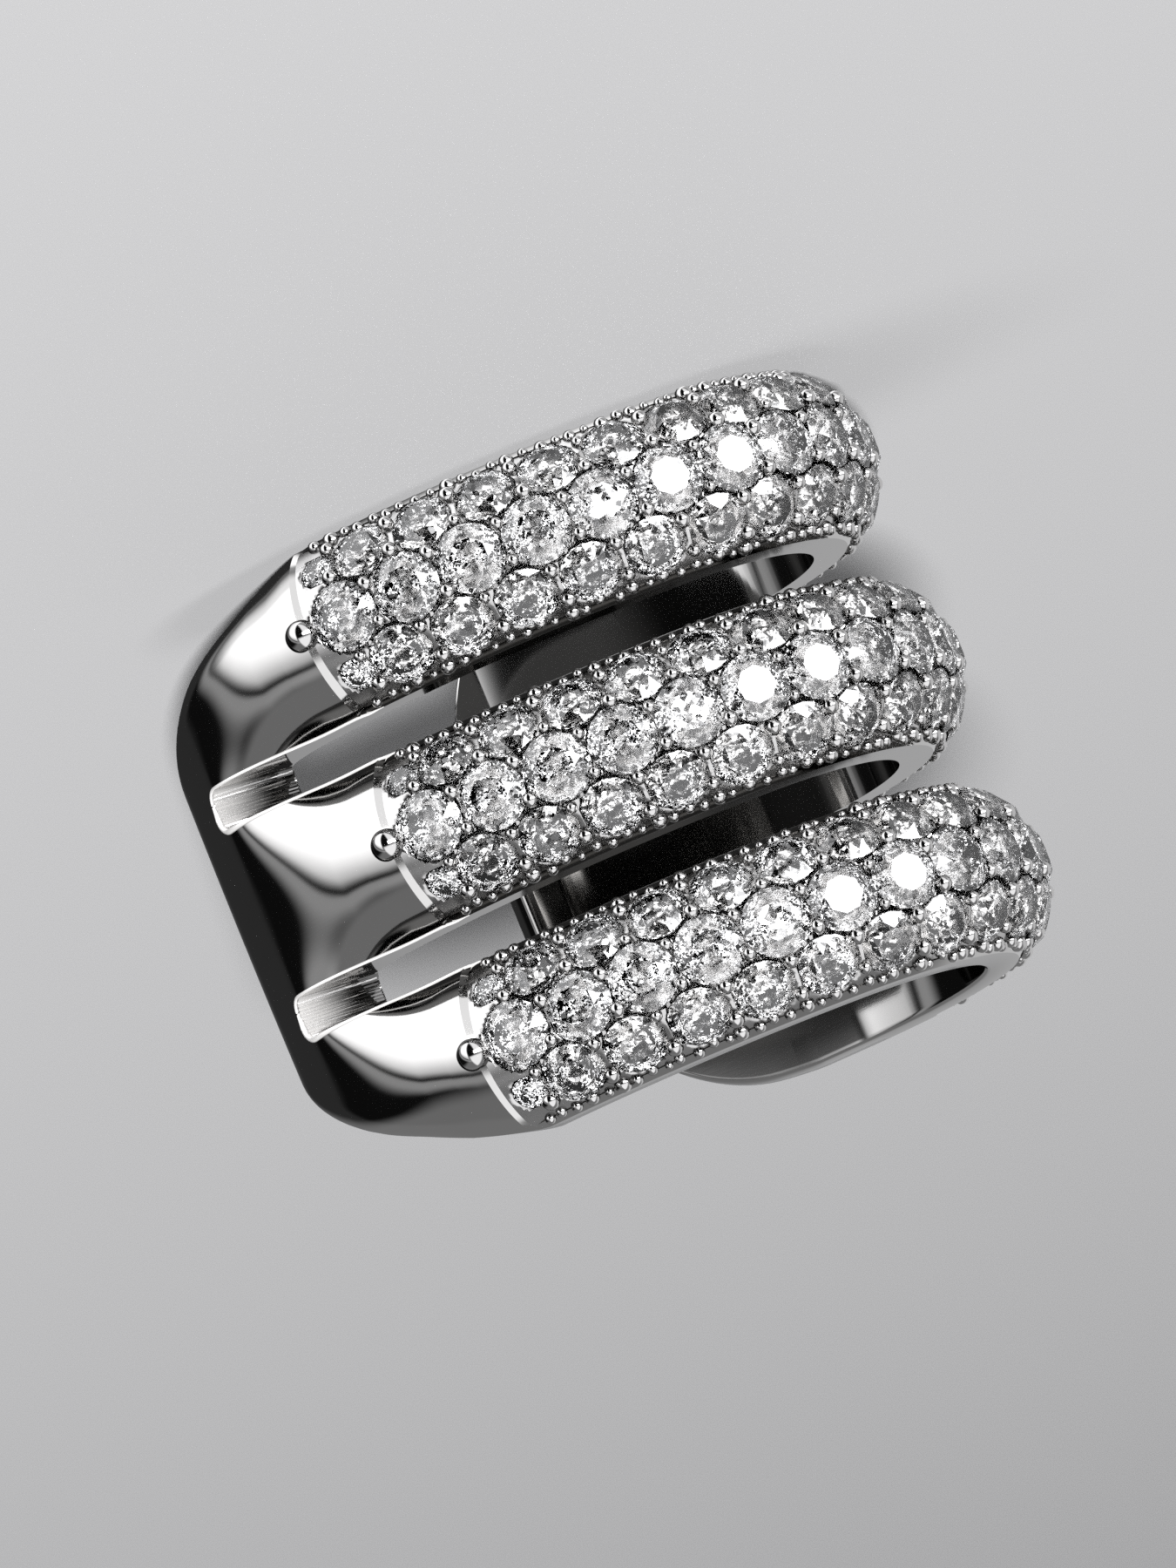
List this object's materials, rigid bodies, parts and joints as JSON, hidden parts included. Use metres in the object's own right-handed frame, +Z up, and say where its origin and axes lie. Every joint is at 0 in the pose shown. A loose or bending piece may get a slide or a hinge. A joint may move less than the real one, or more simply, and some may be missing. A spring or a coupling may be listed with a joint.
{
  "type": "ear cuff",
  "caption": "Ear cuff of half-round rails side by side, set with cut stones over front and shoulder and joined by a plain end wall and back plate; it grips the rim of the ear.",
  "frame": {"origin": "centre of the footprint, on the surface that the cuff lies on", "axes": "+X towards the plain end wall, +Y towards the back plate, +Z up through the stacked rails; the set fronts face -Y"},
  "size_m": [0.0151, 0.0104, 0.0123],
  "materials": {
    "white_gold": "mirror-polished white gold",
    "pave_stones": "clear brilliant-cut stones in metal beads"
  },
  "bodies": {
    "root": {"cuff_frame": "white_gold", "pave_field_1": "pave_stones", "pave_field_2": "pave_stones", "pave_field_3": "pave_stones"}
  },
  "joints": []
}
